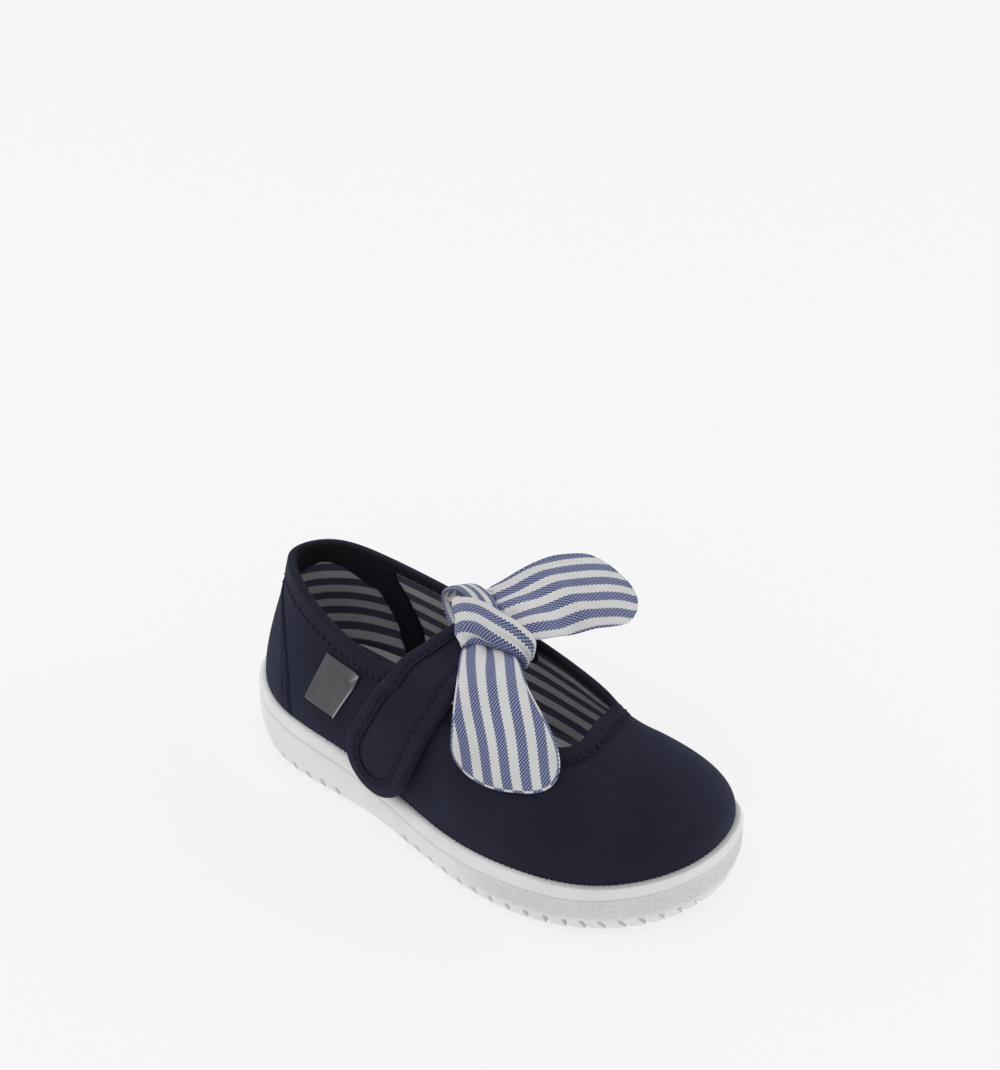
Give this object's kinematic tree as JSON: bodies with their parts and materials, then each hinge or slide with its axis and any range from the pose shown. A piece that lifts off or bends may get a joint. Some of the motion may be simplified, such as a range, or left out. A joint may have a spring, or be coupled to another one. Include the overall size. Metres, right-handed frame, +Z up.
{
  "type": "mary jane shoe",
  "caption": "Small child's canvas mary jane for the right foot: low open collar, rubber cup sole, bound instep strap and a striped cloth tie knotted round the strap.",
  "frame": {"origin": "on the ground, under the middle of the heel pad", "axes": "+X forward to the toe, +Y to the inner side of the foot, +Z up"},
  "size_m": [0.1561, 0.0839, 0.0642],
  "materials": {
    "sole_rubber": "off-white vulcanised rubber, semi-matt, with a pebbled lower band",
    "insole_cloth": "blue and white striped cotton over foam",
    "canvas": "navy plain-weave cotton canvas, matt",
    "lining": "blue and white striped cotton",
    "strap_canvas": "navy cotton canvas with a folded cloth binding",
    "bow_cloth": "blue and white striped cotton twill",
    "patch_film": "thin grey glossy film patch"
  },
  "bodies": {
    "root": {"outsole": "sole_rubber", "insole": "insole_cloth", "upper": "canvas", "strap": "strap_canvas", "bow_knot": "bow_cloth", "bow_tail_front": "bow_cloth", "bow_tail_back": "bow_cloth"}
  },
  "joints": []
}
